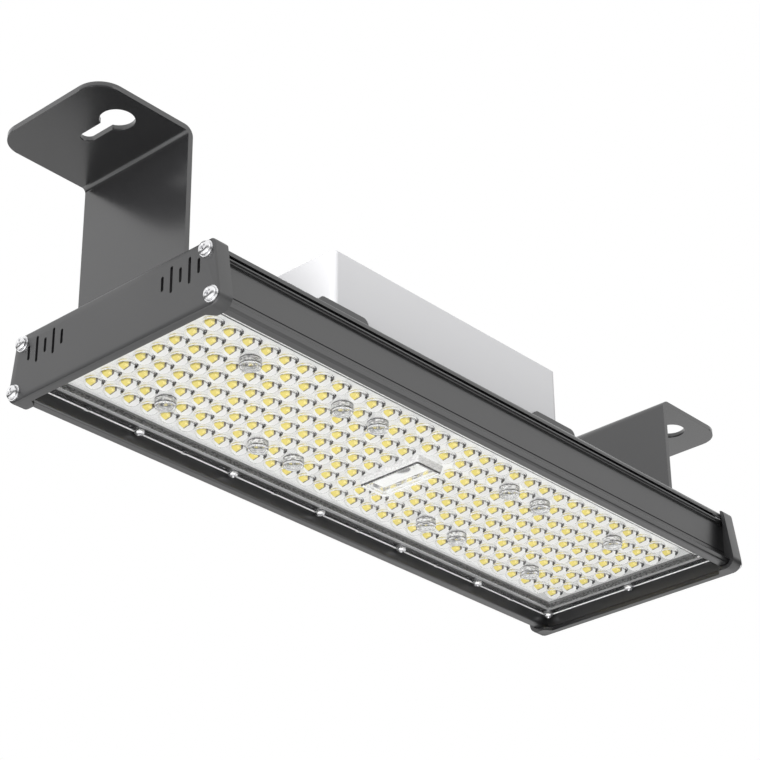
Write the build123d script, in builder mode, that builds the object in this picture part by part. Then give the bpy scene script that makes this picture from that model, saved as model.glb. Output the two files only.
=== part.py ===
"""Linear LED high bay light: a black aluminium housing with a clear lens panel underneath, an end cap
at each end, two folded hanging brackets and a sheet metal driver box on top."""

import os

from build123d import *

os.makedirs("parts", exist_ok=True)

# Millimetres. X runs along the housing, Y across it, Z up, and Z = 0 is the lower edge of the end caps.
# Each piece is drawn where it sits.

# Fits
SLIP = 0.1
LOOSE = 0.3

# Stack of the lens panel and the LED board, heights from below
LIP_UNDER = 2.6
RIDGE_UNDER = 9.6
FLANGE_UNDER = 11.4
FIELD_UNDER = 12.4
LENS_THICK = 2.0
BOARD_GAP = 1.0
BOARD_THICK = 1.6
PLATE_THICK = 3.0
FIELD_TOP = FIELD_UNDER + LENS_THICK
FLANGE_TOP = FLANGE_UNDER + LENS_THICK
BOARD_UNDER = FIELD_TOP + BOARD_GAP
PLATE_UNDER = BOARD_UNDER + BOARD_THICK
PLATE_TOP = PLATE_UNDER + PLATE_THICK
DECK = 35.8

# Housing section, half widths
HOUSING_HALF = 203.2
LIP_IN = 64.0
LIP_OUT = 70.0
WALL_OUT = 65.9
WALL_THICK = 2.5
LEDGE_IN = 58.6
STEP_OUT = 67.2
ARM_OUT = 68.0
ARM_IN = 62.2
STEP_UNDER = 28.9
ARM_UNDER = 29.9
PORT_Y = 65.3
PORT_Z = 31.5
PORT_R = 1.8
MOUTH_UNDER = 30.7
MOUTH_TOP = 32.4
FIN_THICK = 1.8
FIN_TOP = 34.8
FIN_YS = (3.5, 9.5, 34.0, 40.0, 46.0, 52.0, 58.0)
RAIL_Y = 22.0
RAIL_HEAD = 14.0
RAIL_HEAD_THICK = 6.0
RAIL_STEM = 6.0

# Lens panel, half sizes
PANEL_X = HOUSING_HALF - 0.5
PANEL_Y = LIP_IN - LOOSE
RIDGE_OUT = 4.0
RIDGE_IN = 9.7
RIDGE_WALL = 1.5
CHANNEL_WIDTH = 2.6
EDGE_WIDTH = 1.2
LENS_R = 5.2
LENS_HEIGHT = 3.2
LENS_DRAFT = 32
LENS_SIDES = 8
DOME_R = 6.9
DOME_HEIGHT = 4.5
DOME_WALL = 1.5
WINDOW_MID = -1.7
WINDOW_X = 19.0
WINDOW_Y = 41.0
WINDOW_HEIGHT = 4.6
WINDOW_WALL = 1.5

# LED array, each LED a little off its lens
LENS_MID = 0.2
CHIP_SHIFT = -1.2
PITCH = 12.5
ROW_PITCH = 12.0
ARRAY_END = 4.0
COLUMNS = 2 * int((PANEL_X - RIDGE_IN - ARRAY_END) / PITCH)
ROWS = 8
SCREW_ROWS = (1, 6)
FULL_ROWS = (0, 7)
OUTER_PITCH = 12.4
OUTER_STEPS = 4
SCREW_STEPS = (4, 6, 11)
CHIP = 3.4
CHIP_THICK = 0.7
BOARD_X = HOUSING_HALF - 9.7
BOARD_Y = LEDGE_IN - 3.8

# End caps
CAP_FRONT = 2.5
END_PLATE = 2.0
CAP_FACE = HOUSING_HALF + END_PLATE + CAP_FRONT
CAP_BEVEL = 0.9
CAP_TOP = DECK + 0.8
CAP_TOP_OVER = 2.2
CAP_TOP_HALF = ARM_OUT + CAP_TOP_OVER
CAP_FOOT_OVER = 5.3
CAP_FOOT_HALF = LIP_OUT + CAP_FOOT_OVER
CAP_RIM = 2.3
CHEEK_DEPTH = 8.8
RIM_DEPTH = 4.5
CAP_CUT_WIDE = CAP_FOOT_HALF - 10.3
CAP_CUT_NARROW = CAP_CUT_WIDE - 4.0
VENT_YS = (35.7, 41.85, 48.0, 54.15, 60.3)
VENT_Z = 24.7
VENT_WIDTH = 1.8
LONG_VENT = 14.4
SHORT_VENT = 8.2
LOWER_SCREW_Y = CAP_FOOT_HALF - 5.8
LOWER_SCREW_Z = 5.75
PLATE_OPENING_Y = 33.5
PLATE_OPENING = 55.0
PLATE_OPENING_HEIGHT = 13.2

# Screws, washers: heads and shanks have few sides, and a hole has its shank's sides
HEAD_SIDES = 12
SHANK_SIDES = 6
HEAD_FROM = 2.7
CAP_HEAD_R = 3.6
CAP_HEAD = 2.2
WASHER_R = 4.3
WASHER_THICK = 0.8
LENS_SCREW_R = 1.5
LENS_HEAD_R = 2.8
LENS_HEAD = 2.0
LENS_SCREW_INSET = 3.1
LENS_SCREW_STEP = 66.6
BOARD_SCREW_R = 2.0
BOARD_HEAD_R = 3.8
BOARD_HEAD = 2.0
DECK_SCREW_R = 2.5
DECK_HEAD_R = 4.6
DECK_HEAD = 3.0
DECK_SCREW_DEPTH = 7.0
SMALL_SCREW_R = 1.5
SMALL_HEAD_R = 2.9
SMALL_HEAD = 1.8

# Hanging brackets
SHEET = 3.0
LEG_FACE = HOUSING_HALF - 6.5
BRACKET_HALF = 38.0
BRACKET_TOP = 118.7
FLANGE_LENGTH = 58.4
FLANGE_END = LEG_FACE + FLANGE_LENGTH
FOOT_LENGTH = 28.0
BEND = 2.5
FOOT_BEND = 1.0
FLANGE_CORNER = 14.0
KEY_OUT = 30.0
KEY_X = LEG_FACE + KEY_OUT
KEY_Y = -19.6
KEY_R = 8.75
SLOT_WIDTH = 7.6
SLOT_END = 1.7
FOOT_SCREW_X = LEG_FACE - 16.7

# Driver box and its saddles
BOX_X = 91.5
BOX_Y = 36.0
BOX_TOP = 96.9
BOX_CORNER = 3.3
BOX_WALL = 1.2
COVER_THICK = 1.5
SADDLE_SHEET = 2.0
SADDLE_NEAR = BOX_X - 24.1
SADDLE_FAR = BOX_X + 12.6
SADDLE_TOP = 63.4
SADDLE_CORNER = 4.0
SADDLE_SCREW_X = BOX_X + 6.5
SIDE_SCREW_X = BOX_X - 12.5
SIDE_SCREW_Z = 50.0
EAR = 9.0
EAR_SCREW_INSET = 6.0
BOX_UNDER = DECK + SADDLE_SHEET
FLOOR = BOX_UNDER + BOX_WALL
COVER_UNDER = BOX_TOP - COVER_THICK

# Driver, leads, supply gland
DRIVER_X = 6.0
DRIVER_LENGTH = 98.0
DRIVER_WIDTH = 50.0
DRIVER_HEIGHT = 32.0
DRIVER_FLANGE = 118.0
DRIVER_SHEET = 2.0
LEAD_X = -61.0
LEAD_R = 2.2
LEAD_LEVEL = 28.0
LEAD_BEND = 6.0
GROMMET_NECK = 3.6
GROMMET_RIM = 5.5
GROMMET_RIM_THICK = 1.0
GLAND_Z = 62.0
GLAND_R = 8.0
GLAND_DOME_R = 9.4
GLAND_HEX_R = 11.0
GLAND_SIDES = 16

ENDS = (-1, 1)


def screw_spots():
    """Middles of the lens panel's screws: seven along each side and one in the middle of each end."""
    long_y = PANEL_Y - LENS_SCREW_INSET
    end_x = PANEL_X - LENS_SCREW_INSET
    spots = [(end * end_x, 0) for end in ENDS]
    for side in ENDS:
        spots += [(step * LENS_SCREW_STEP, side * long_y) for step in range(-2, 3)]
        spots += [(end * end_x, side * long_y) for end in ENDS]
    return spots


def array_spots():
    """Middles of the lenses, then those of the board's screws."""
    lenses, screws = [], []
    edge = (COLUMNS - 1) / 2 * PITCH
    inner_steps = COLUMNS // 2 - 1 - OUTER_STEPS
    inner_pitch = (edge - OUTER_STEPS * OUTER_PITCH) / inner_steps
    for row in range(ROWS):
        y = (row - (ROWS - 1) / 2) * ROW_PITCH
        if row in SCREW_ROWS:
            for step in range(inner_steps + OUTER_STEPS + 1):
                outer = max(0, step - inner_steps)
                x = (step - outer) * inner_pitch + outer * OUTER_PITCH
                spots = screws if step in SCREW_STEPS else lenses
                spots += [(LENS_MID + end * x, y) for end in (ENDS if step else (1,))]
        else:
            for column in range(COLUMNS):
                x = (column - (COLUMNS - 1) / 2) * PITCH
                if row in FULL_ROWS or abs(x) > PITCH:
                    lenses.append((LENS_MID + x, y))
    return lenses, screws


LENS_SPOTS, BOARD_SCREW_SPOTS = array_spots()
LENS_SCREW_SPOTS = screw_spots()
UPPER_SCREWS = [(-PORT_Y, PORT_Z), (PORT_Y, PORT_Z)]
LOWER_SCREWS = [(-LOWER_SCREW_Y, LOWER_SCREW_Z), (LOWER_SCREW_Y, LOWER_SCREW_Z)]
FOOT_SPOTS = [(x * FOOT_SCREW_X, y * RAIL_Y) for x in ENDS for y in ENDS]
SADDLE_SPOTS = [(x * SADDLE_SCREW_X, y * RAIL_Y) for x in ENDS for y in ENDS]
COVER_SPOTS = [(x * (BOX_X - EAR_SCREW_INSET), y * (BOX_Y - EAR_SCREW_INSET)) for x in ENDS for y in ENDS]
SIDE_SPOTS = [(x * SIDE_SCREW_X, SIDE_SCREW_Z) for x in ENDS]
DRIVER_SPOTS = [(DRIVER_X + x * (DRIVER_FLANGE - 10) / 2, 0) for x in ENDS]


def small_rounds(spots, radius, mode=Mode.ADD):
    """Repeated small heads, shanks and their holes, drawn in the open sketch with few sides."""
    with Locations(*spots):
        RegularPolygon(radius, SHANK_SIDES if radius < HEAD_FROM else HEAD_SIDES, mode=mode)


def write(part, label):
    """Names a piece and writes its file."""
    part.label = label
    export_step(part, "parts/" + label + ".step")


def screws_down(spots, seat, shank_r, head_r, head, depth, up):
    """Pan head screws on a level seat; up is 1 for heads above the seat and -1 for heads below it."""
    with BuildPart() as screws:
        with BuildSketch(Plane.XY.offset(seat)):
            small_rounds(spots, head_r)
        extrude(amount=up * head)
        with BuildSketch(Plane.XY.offset(seat)):
            small_rounds(spots, shank_r)
        extrude(amount=-up * depth)
    return screws.part


def corners(sketch, half, height):
    """The two mirrored corners of a section at this half width and height."""
    return [v for v in sketch.vertices() if abs(abs(v.X) - half) < 0.01 and abs(v.Y - height) < 0.01]


# Housing extrusion: base plate with fins and two screw rails on top, side walls with a screw port in
# each upper corner, and a rolled lip round the lens panel
WALL_IN = WALL_OUT - WALL_THICK
with BuildPart() as housing:
    with BuildSketch(Plane.YZ) as section:
        with BuildLine():
            Polyline(
                (0, PLATE_UNDER),
                (LEDGE_IN, PLATE_UNDER),
                (LEDGE_IN, FLANGE_TOP),
                (LIP_IN, FLANGE_TOP),
                (LIP_IN, LIP_UNDER),
                (LIP_OUT, LIP_UNDER),
                (LIP_OUT, 6.6),
                (WALL_OUT, 10.1),
                (WALL_OUT, 11.5),
                (WALL_OUT - 0.4, 11.8),
                (WALL_OUT - 0.4, 12.1),
                (WALL_OUT, 12.4),
                (WALL_OUT, STEP_UNDER),
                (STEP_OUT, STEP_UNDER),
                (STEP_OUT, ARM_UNDER),
                (ARM_OUT, ARM_UNDER),
                (ARM_OUT, DECK),
                (ARM_IN, DECK),
                (ARM_IN, ARM_UNDER - 3),
                (WALL_IN, ARM_UNDER - 4.5),
                (WALL_IN, PLATE_TOP),
                (0, PLATE_TOP),
                close=True,
            )
        make_face()
        mirror(about=Plane.YZ)
        for side in ENDS:
            with Locations(*[(side * y, PLATE_TOP) for y in FIN_YS]):
                Rectangle(FIN_THICK, FIN_TOP - PLATE_TOP, align=(Align.CENTER, Align.MIN))
            with Locations((side * RAIL_Y, PLATE_TOP)):
                Rectangle(RAIL_STEM, DECK - PLATE_TOP, align=(Align.CENTER, Align.MIN))
            with Locations((side * RAIL_Y, DECK)):
                Rectangle(RAIL_HEAD, RAIL_HEAD_THICK, align=(Align.CENTER, Align.MAX))
        fillet(corners(section, ARM_OUT, DECK), 2.2)
        fillet(corners(section, LIP_OUT, LIP_UNDER), 1.4)
        fillet(corners(section, LIP_IN, LIP_UNDER), 1.2)
        fillet(corners(section, LIP_OUT, 6.6), 0.8)
        with Locations(*UPPER_SCREWS):
            Circle(PORT_R + SLIP, mode=Mode.SUBTRACT)
        for side in ENDS:
            with Locations((side * (PORT_Y + PORT_R), (MOUTH_UNDER + MOUTH_TOP) / 2)):
                Rectangle(2 * PORT_R, MOUTH_TOP - MOUTH_UNDER, mode=Mode.SUBTRACT)
    extrude(amount=HOUSING_HALF, both=True)
    with BuildSketch(Plane.XY.offset(PLATE_UNDER)):
        small_rounds(BOARD_SCREW_SPOTS, BOARD_SCREW_R)
        small_rounds([(WINDOW_MID, 0)], GROMMET_NECK)
    extrude(amount=PLATE_THICK, mode=Mode.SUBTRACT)
    with BuildSketch(Plane.XY.offset(PLATE_TOP)):
        small_rounds([(WINDOW_MID, 0)], GROMMET_RIM + LOOSE)
    extrude(amount=DECK - PLATE_TOP, mode=Mode.SUBTRACT)
    with BuildSketch(Plane.XY.offset(FLANGE_TOP)):
        small_rounds(LENS_SCREW_SPOTS, LENS_SCREW_R)
    extrude(amount=PLATE_TOP - FLANGE_TOP, mode=Mode.SUBTRACT)
    with BuildSketch(Plane.XY.offset(DECK)):
        small_rounds(FOOT_SPOTS + SADDLE_SPOTS, DECK_SCREW_R)
    extrude(amount=-DECK_SCREW_DEPTH, mode=Mode.SUBTRACT)
write(housing.part, "housing")

# LED board with its wire hole and screw holes
with BuildPart() as board:
    with BuildSketch(Plane.XY.offset(BOARD_UNDER)):
        Rectangle(2 * BOARD_X, 2 * BOARD_Y)
        small_rounds(BOARD_SCREW_SPOTS, BOARD_SCREW_R + SLIP, Mode.SUBTRACT)
        small_rounds([(WINDOW_MID, 0)], GROMMET_RIM + LOOSE, Mode.SUBTRACT)
    extrude(amount=BOARD_THICK)
write(board.part, "led_board")

with BuildPart() as chips:
    with BuildSketch(Plane.XY.offset(BOARD_UNDER)):
        with Locations(*[(x + CHIP_SHIFT, y) for x, y in LENS_SPOTS]):
            Rectangle(CHIP, CHIP)
    extrude(amount=-CHIP_THICK)
write(chips.part, "led_chips")

with BuildPart() as terminal:
    with BuildSketch(Plane.XY.offset(BOARD_UNDER)):
        with Locations((WINDOW_MID, -12.5)):
            Rectangle(6, 9)
    extrude(amount=-2.6)
    chamfer(terminal.edges().filter_by(Axis.Y).group_by(Axis.Z)[0], 0.6)
write(terminal.part, "board_terminal")

board_screws = screws_down(
    BOARD_SCREW_SPOTS, BOARD_UNDER, BOARD_SCREW_R, BOARD_HEAD_R, BOARD_HEAD, BOARD_THICK + PLATE_THICK, -1
)
write(board_screws, "board_screws")

# Lens panel: a raised ridge with the seal's channel behind it runs round the field of lenses
CHANNEL_X = PANEL_X - RIDGE_IN + RIDGE_WALL
CHANNEL_Y = PANEL_Y - RIDGE_IN + RIDGE_WALL
CHANNEL_FLOOR = RIDGE_UNDER + RIDGE_WALL
with BuildPart() as one_lens:
    with BuildSketch():
        RegularPolygon(LENS_R, LENS_SIDES, rotation=22.5)
    extrude(amount=-LENS_HEIGHT)
    draft(one_lens.faces().filter_by(Axis.Z, reverse=True), Plane.XY, LENS_DRAFT)
with BuildPart() as lens:
    with BuildSketch(Plane.XY.offset(FLANGE_UNDER)):
        Rectangle(2 * PANEL_X, 2 * PANEL_Y)
    extrude(amount=LENS_THICK)
    with BuildSketch(Plane.XY.offset(RIDGE_UNDER)):
        Rectangle(2 * PANEL_X, 2 * PANEL_Y)
        Rectangle(2 * (PANEL_X - EDGE_WIDTH), 2 * (PANEL_Y - EDGE_WIDTH), mode=Mode.SUBTRACT)
        Rectangle(2 * (PANEL_X - RIDGE_OUT), 2 * (PANEL_Y - RIDGE_OUT))
        small_rounds(LENS_SCREW_SPOTS, LENS_SCREW_INSET)
    extrude(amount=FLANGE_TOP - RIDGE_UNDER)
    with BuildSketch(Plane.XY.offset(RIDGE_UNDER)):
        Rectangle(2 * (PANEL_X - RIDGE_IN), 2 * (PANEL_Y - RIDGE_IN))
    extrude(amount=FLANGE_TOP - RIDGE_UNDER, mode=Mode.SUBTRACT)
    with BuildSketch(Plane.XY.offset(FIELD_UNDER)):
        Rectangle(2 * CHANNEL_X, 2 * CHANNEL_Y)
    extrude(amount=LENS_THICK)
    with BuildSketch(Plane.XY.offset(CHANNEL_FLOOR)):
        Rectangle(2 * (CHANNEL_X + CHANNEL_WIDTH), 2 * (CHANNEL_Y + CHANNEL_WIDTH))
        Rectangle(2 * CHANNEL_X, 2 * CHANNEL_Y, mode=Mode.SUBTRACT)
    extrude(amount=LENS_THICK * 2, mode=Mode.SUBTRACT)
    # Standoffs at the ends, where the housing has no ledge
    with BuildSketch(Plane.XY.offset(FLANGE_TOP)):
        small_rounds(LENS_SCREW_SPOTS[:2], LENS_SCREW_R + 0.9)
    extrude(amount=PLATE_UNDER - FLANGE_TOP)
    with BuildSketch(Plane.XY.offset(RIDGE_UNDER)):
        small_rounds(LENS_SCREW_SPOTS, LENS_SCREW_R + SLIP)
    extrude(amount=PLATE_UNDER - RIDGE_UNDER, mode=Mode.SUBTRACT)
    # Hollow domes over the board screws, centre window, then the lenses
    with BuildSketch(Plane.XY.offset(FIELD_UNDER)):
        with Locations(*BOARD_SCREW_SPOTS):
            RegularPolygon(DOME_R, 8, rotation=22.5)
    extrude(amount=-DOME_HEIGHT, taper=12)
    with BuildSketch(Plane.XY.offset(FIELD_UNDER)):
        with Locations((WINDOW_MID, 0)):
            Rectangle(WINDOW_X + 2, WINDOW_Y + 2)
    extrude(amount=-WINDOW_HEIGHT, taper=12)
    with BuildSketch(Plane.XY.offset(FIELD_TOP)):
        with Locations(*BOARD_SCREW_SPOTS):
            RegularPolygon(DOME_R - DOME_WALL, 8, rotation=22.5)
        with Locations((WINDOW_MID, 0)):
            Rectangle(WINDOW_X - 2 * WINDOW_WALL, WINDOW_Y - 2 * WINDOW_WALL)
    extrude(amount=-(LENS_THICK + DOME_HEIGHT - DOME_WALL), mode=Mode.SUBTRACT)
    with Locations(*[(x, y, FIELD_UNDER) for x, y in LENS_SPOTS]):
        add(one_lens.part)
write(lens.part, "lens_panel")

with BuildPart() as seal:
    with BuildSketch(Plane.XY.offset(CHANNEL_FLOOR)):
        Rectangle(2 * (CHANNEL_X + CHANNEL_WIDTH - SLIP), 2 * (CHANNEL_Y + CHANNEL_WIDTH - SLIP))
        Rectangle(2 * (CHANNEL_X + SLIP), 2 * (CHANNEL_Y + SLIP), mode=Mode.SUBTRACT)
    extrude(amount=PLATE_UNDER - CHANNEL_FLOOR)
write(seal.part, "lens_seal")

lens_screws = screws_down(
    LENS_SCREW_SPOTS, RIDGE_UNDER, LENS_SCREW_R, LENS_HEAD_R, LENS_HEAD, PLATE_TOP - RIDGE_UNDER - 1, -1
)
write(lens_screws, "lens_screws")

# End caps: a tray with deeper cheeks, bevelled round its face, with a plate between it and the housing
with BuildPart() as cap:
    with BuildSketch(Plane.YZ.offset(CAP_FACE)) as cap_face:
        Polygon(
            (-CAP_FOOT_HALF, 0),
            (CAP_FOOT_HALF, 0),
            (CAP_TOP_HALF, CAP_TOP),
            (-CAP_TOP_HALF, CAP_TOP),
            align=None,
        )
        fillet(corners(cap_face, CAP_FOOT_HALF, 0), 6)
        fillet(corners(cap_face, CAP_TOP_HALF, CAP_TOP), 3)
    extrude(amount=-CHEEK_DEPTH)
    chamfer(cap.faces().sort_by(Axis.X)[-1].outer_wire().edges(), CAP_BEVEL)
    with BuildSketch(Plane.YZ.offset(CAP_FACE - CAP_FRONT)) as cap_inside:
        add(cap_face.sketch_local)
        offset(amount=-CAP_RIM)
    extrude(amount=-CHEEK_DEPTH, mode=Mode.SUBTRACT)
    # The rim is cut back above, and below between its two corners
    with BuildSketch(Plane.XY.offset(CAP_TOP - 6)):
        with Locations((CAP_FACE - RIM_DEPTH, 0)):
            Rectangle(CHEEK_DEPTH, 2 * (CAP_TOP_HALF - CAP_RIM), align=(Align.MAX, Align.CENTER))
    extrude(amount=10, mode=Mode.SUBTRACT)
    with BuildSketch(Plane.XY.offset(-1)):
        Polygon(
            (CAP_FACE - CHEEK_DEPTH - 1, -CAP_CUT_WIDE),
            (CAP_FACE - RIM_DEPTH, -CAP_CUT_NARROW),
            (CAP_FACE - RIM_DEPTH, CAP_CUT_NARROW),
            (CAP_FACE - CHEEK_DEPTH - 1, CAP_CUT_WIDE),
            align=None,
        )
    extrude(amount=6, mode=Mode.SUBTRACT)
    with BuildSketch(Plane.YZ.offset(CAP_FACE)):
        for side in ENDS:
            with Locations(*[(side * y, VENT_Z) for y in VENT_YS[::2]]):
                Rectangle(VENT_WIDTH, SHORT_VENT)
            with Locations(*[(side * y, VENT_Z) for y in VENT_YS[1::2]]):
                Rectangle(VENT_WIDTH, LONG_VENT)
        small_rounds(UPPER_SCREWS + LOWER_SCREWS, PORT_R + SLIP)
    extrude(amount=-CAP_FRONT, mode=Mode.SUBTRACT)
write(cap.part, "end_cap_right")
write(mirror(cap.part, about=Plane.YZ), "end_cap_left")

with BuildPart() as end_plate:
    with BuildSketch(Plane.YZ.offset(HOUSING_HALF)) as plate_face:
        add(cap_face.sketch_local)
        offset(amount=-(CAP_RIM + LOOSE))
        for side in ENDS:
            with Locations((side * PLATE_OPENING_Y, PLATE_TOP + 0.5)):
                Rectangle(
                    PLATE_OPENING, PLATE_OPENING_HEIGHT, align=(Align.CENTER, Align.MIN), mode=Mode.SUBTRACT
                )
        small_rounds(UPPER_SCREWS, PORT_R + SLIP, Mode.SUBTRACT)
        small_rounds(LOWER_SCREWS, PORT_R, Mode.SUBTRACT)
    extrude(amount=END_PLATE)
write(end_plate.part, "end_plate_right")
write(mirror(end_plate.part, about=Plane.YZ), "end_plate_left")


def end_pieces(spots, radius, near, far):
    """Round pieces at both ends of the light, between two distances from its middle."""
    with BuildPart() as pieces:
        with BuildSketch(Plane.YZ.offset(near)):
            small_rounds(spots, radius)
        extrude(amount=far - near)
        mirror(about=Plane.YZ)
    return pieces.part


with BuildPart() as washers:
    with BuildSketch(Plane.YZ.offset(CAP_FACE)):
        small_rounds(UPPER_SCREWS + LOWER_SCREWS, WASHER_R)
        small_rounds(UPPER_SCREWS + LOWER_SCREWS, PORT_R + SLIP, Mode.SUBTRACT)
    extrude(amount=WASHER_THICK)
    mirror(about=Plane.YZ)
write(washers.part, "end_cap_washers")

HEAD_SEAT = CAP_FACE + WASHER_THICK
for spots, near, label in (
    (UPPER_SCREWS, HOUSING_HALF - 9, "end_cap_screws_upper"),
    (LOWER_SCREWS, HOUSING_HALF, "end_cap_screws_lower"),
):
    heads = end_pieces(spots, CAP_HEAD_R, HEAD_SEAT, HEAD_SEAT + CAP_HEAD)
    shanks = end_pieces(spots, PORT_R, near, HEAD_SEAT)
    write(heads + shanks, label)

# Hanging bracket: one folded sheet with a foot on the rails and a flange with a keyhole
with BuildPart() as bracket:
    with BuildSketch(Plane.XZ) as fold:
        Polygon(
            (LEG_FACE - FOOT_LENGTH, DECK),
            (LEG_FACE, DECK),
            (LEG_FACE, BRACKET_TOP - SHEET),
            (FLANGE_END, BRACKET_TOP - SHEET),
            (FLANGE_END, BRACKET_TOP),
            (LEG_FACE - SHEET, BRACKET_TOP),
            (LEG_FACE - SHEET, DECK + SHEET),
            (LEG_FACE - FOOT_LENGTH, DECK + SHEET),
            align=None,
        )
        fillet(corners(fold, LEG_FACE, BRACKET_TOP - SHEET), BEND)
        fillet(corners(fold, LEG_FACE - SHEET, BRACKET_TOP), BEND + SHEET)
        fillet(corners(fold, LEG_FACE - SHEET, DECK + SHEET), FOOT_BEND)
        fillet(corners(fold, LEG_FACE, DECK), FOOT_BEND + SHEET)
    extrude(amount=BRACKET_HALF, both=True)
    fillet(bracket.edges().filter_by(Axis.Z).group_by(Axis.X)[-1], FLANGE_CORNER)
    with BuildSketch(Plane.XY.offset(BRACKET_TOP)):
        with Locations((KEY_X, KEY_Y)):
            Circle(KEY_R)
        with Locations((KEY_X, KEY_Y), (KEY_X, SLOT_END)):
            Circle(SLOT_WIDTH / 2)
        with Locations((KEY_X, (KEY_Y + SLOT_END) / 2)):
            Rectangle(SLOT_WIDTH, SLOT_END - KEY_Y)
    extrude(amount=-SHEET, mode=Mode.SUBTRACT)
    with BuildSketch(Plane.XY.offset(DECK)):
        small_rounds(FOOT_SPOTS[2:], DECK_SCREW_R + SLIP)
    extrude(amount=SHEET, mode=Mode.SUBTRACT)
write(bracket.part, "hanging_bracket_right")
write(mirror(bracket.part, about=Plane.YZ), "hanging_bracket_left")

foot_screws = screws_down(
    FOOT_SPOTS, DECK + SHEET, DECK_SCREW_R, DECK_HEAD_R, DECK_HEAD, SHEET + DECK_SCREW_DEPTH, 1
)
write(foot_screws, "bracket_screws")

# Saddles: channels across the rails that hug the driver box near its ends
with BuildPart() as saddle:
    with BuildSketch(Plane.YZ.offset(SADDLE_NEAR)) as channel:
        with Locations((0, DECK)):
            Rectangle(
                2 * (BOX_Y + SADDLE_SHEET), SADDLE_TOP - DECK, align=(Align.CENTER, Align.MIN)
            )
        with Locations((0, BOX_UNDER)):
            Rectangle(
                2 * BOX_Y, SADDLE_TOP - DECK, align=(Align.CENTER, Align.MIN), mode=Mode.SUBTRACT
            )
        fillet(corners(channel, BOX_Y + SADDLE_SHEET, DECK), SADDLE_SHEET)
    extrude(amount=SADDLE_FAR - SADDLE_NEAR)
    fillet(saddle.edges().filter_by(Axis.Y).group_by(Axis.Z)[-1], SADDLE_CORNER)
    with BuildSketch(Plane.XY.offset(DECK)):
        small_rounds(SADDLE_SPOTS[2:], DECK_SCREW_R + SLIP)
    extrude(amount=SADDLE_SHEET, mode=Mode.SUBTRACT)
    with BuildSketch(Plane.XZ):
        small_rounds([(SIDE_SCREW_X, SIDE_SCREW_Z)], BOARD_SCREW_R + SLIP)
    extrude(amount=BOX_Y + SADDLE_SHEET, both=True, mode=Mode.SUBTRACT)
write(saddle.part, "saddle_right")
write(mirror(saddle.part, about=Plane.YZ), "saddle_left")

saddle_screws = screws_down(
    SADDLE_SPOTS, BOX_UNDER, DECK_SCREW_R, DECK_HEAD_R, DECK_HEAD, SADDLE_SHEET + DECK_SCREW_DEPTH, 1
)
write(saddle_screws, "saddle_screws")

# Driver box: drawn tray with corner ears, flat cover, screws from the sides and from above
with BuildPart() as tray:
    with BuildSketch(Plane.XY.offset(BOX_UNDER)):
        RectangleRounded(2 * BOX_X, 2 * BOX_Y, BOX_CORNER)
    extrude(amount=COVER_UNDER - BOX_UNDER)
    with BuildSketch(Plane.XY.offset(FLOOR)):
        RectangleRounded(2 * (BOX_X - BOX_WALL), 2 * (BOX_Y - BOX_WALL), BOX_CORNER - BOX_WALL)
    extrude(amount=COVER_UNDER - FLOOR, mode=Mode.SUBTRACT)
    for x in ENDS:
        for y in ENDS:
            with BuildSketch(Plane.XY.offset(COVER_UNDER)):
                with Locations((x * (BOX_X - BOX_WALL - EAR / 2), y * (BOX_Y - BOX_WALL - EAR / 2))):
                    Rectangle(EAR, EAR)
            extrude(amount=-BOX_WALL)
    with BuildSketch(Plane.XY.offset(COVER_UNDER)):
        small_rounds(COVER_SPOTS, SMALL_SCREW_R)
    extrude(amount=-BOX_WALL, mode=Mode.SUBTRACT)
    with BuildSketch(Plane.XZ):
        small_rounds(SIDE_SPOTS, BOARD_SCREW_R)
    extrude(amount=BOX_Y, both=True, mode=Mode.SUBTRACT)
    with BuildSketch(Plane.XY.offset(BOX_UNDER)):
        small_rounds(DRIVER_SPOTS, SMALL_SCREW_R)
        small_rounds([(LEAD_X, 0)], GROMMET_NECK)
    extrude(amount=BOX_WALL, mode=Mode.SUBTRACT)
    with BuildSketch(Plane.YZ.offset(BOX_X)):
        with Locations((0, GLAND_Z)):
            RegularPolygon(GLAND_R, GLAND_SIDES)
    extrude(amount=-BOX_WALL, mode=Mode.SUBTRACT)
write(tray.part, "box_tray")

with BuildPart() as cover:
    with BuildSketch(Plane.XY.offset(COVER_UNDER)):
        RectangleRounded(2 * BOX_X, 2 * BOX_Y, BOX_CORNER)
        small_rounds(COVER_SPOTS, SMALL_SCREW_R + SLIP, Mode.SUBTRACT)
    extrude(amount=COVER_THICK)
    chamfer(cover.faces().sort_by(Axis.Z)[-1].outer_wire().edges(), 0.4)
write(cover.part, "box_cover")

cover_screws = screws_down(
    COVER_SPOTS, BOX_TOP, SMALL_SCREW_R, SMALL_HEAD_R, SMALL_HEAD, COVER_THICK + BOX_WALL + 2, 1
)
write(cover_screws, "cover_screws")

with BuildPart() as side_screws:
    for side in ENDS:
        with BuildSketch(Plane.XZ.offset(-side * (BOX_Y + SADDLE_SHEET))):
            small_rounds(SIDE_SPOTS, BOARD_HEAD_R)
        extrude(amount=-side * BOARD_HEAD)
        with BuildSketch(Plane.XZ.offset(-side * (BOX_Y + SADDLE_SHEET))):
            small_rounds(SIDE_SPOTS, BOARD_SCREW_R)
        extrude(amount=side * (SADDLE_SHEET + BOX_WALL + 2))
write(side_screws.part, "box_side_screws")

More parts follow.
